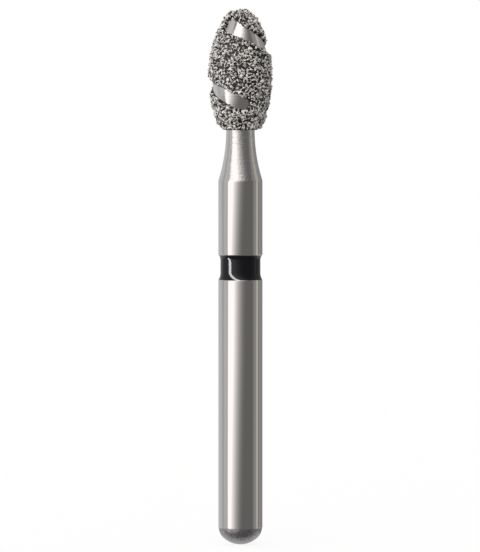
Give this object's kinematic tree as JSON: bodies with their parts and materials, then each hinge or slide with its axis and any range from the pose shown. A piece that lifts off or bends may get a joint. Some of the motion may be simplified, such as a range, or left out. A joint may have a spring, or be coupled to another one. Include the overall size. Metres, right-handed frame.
{
  "type": "dental diamond bur",
  "caption": "Rotary dental bur: plain cylindrical friction-grip shank with a rounded end, black colour ring, flared neck and an egg-shaped diamond-coated head with a spiral relief channel.",
  "frame": {"origin": "lowest point of the shank's rounded end, on the bur's axis", "axes": "+Z along the axis from the shank to the cutting head; -Y is the front, where the picture looks from and where the spiral channel shows its two bands; +X is to the right"},
  "size_m": [0.0024, 0.0024, 0.0195],
  "materials": {
    "stainless_steel": "polished",
    "black_lacquer": "gloss",
    "plated_nickel": "satin",
    "diamond": "gloss"
  },
  "bodies": {
    "root": {"steel_blank": "stainless_steel", "colour_ring": "black_lacquer", "nickel_bond": "plated_nickel", "diamond_grit": "diamond"}
  },
  "joints": []
}
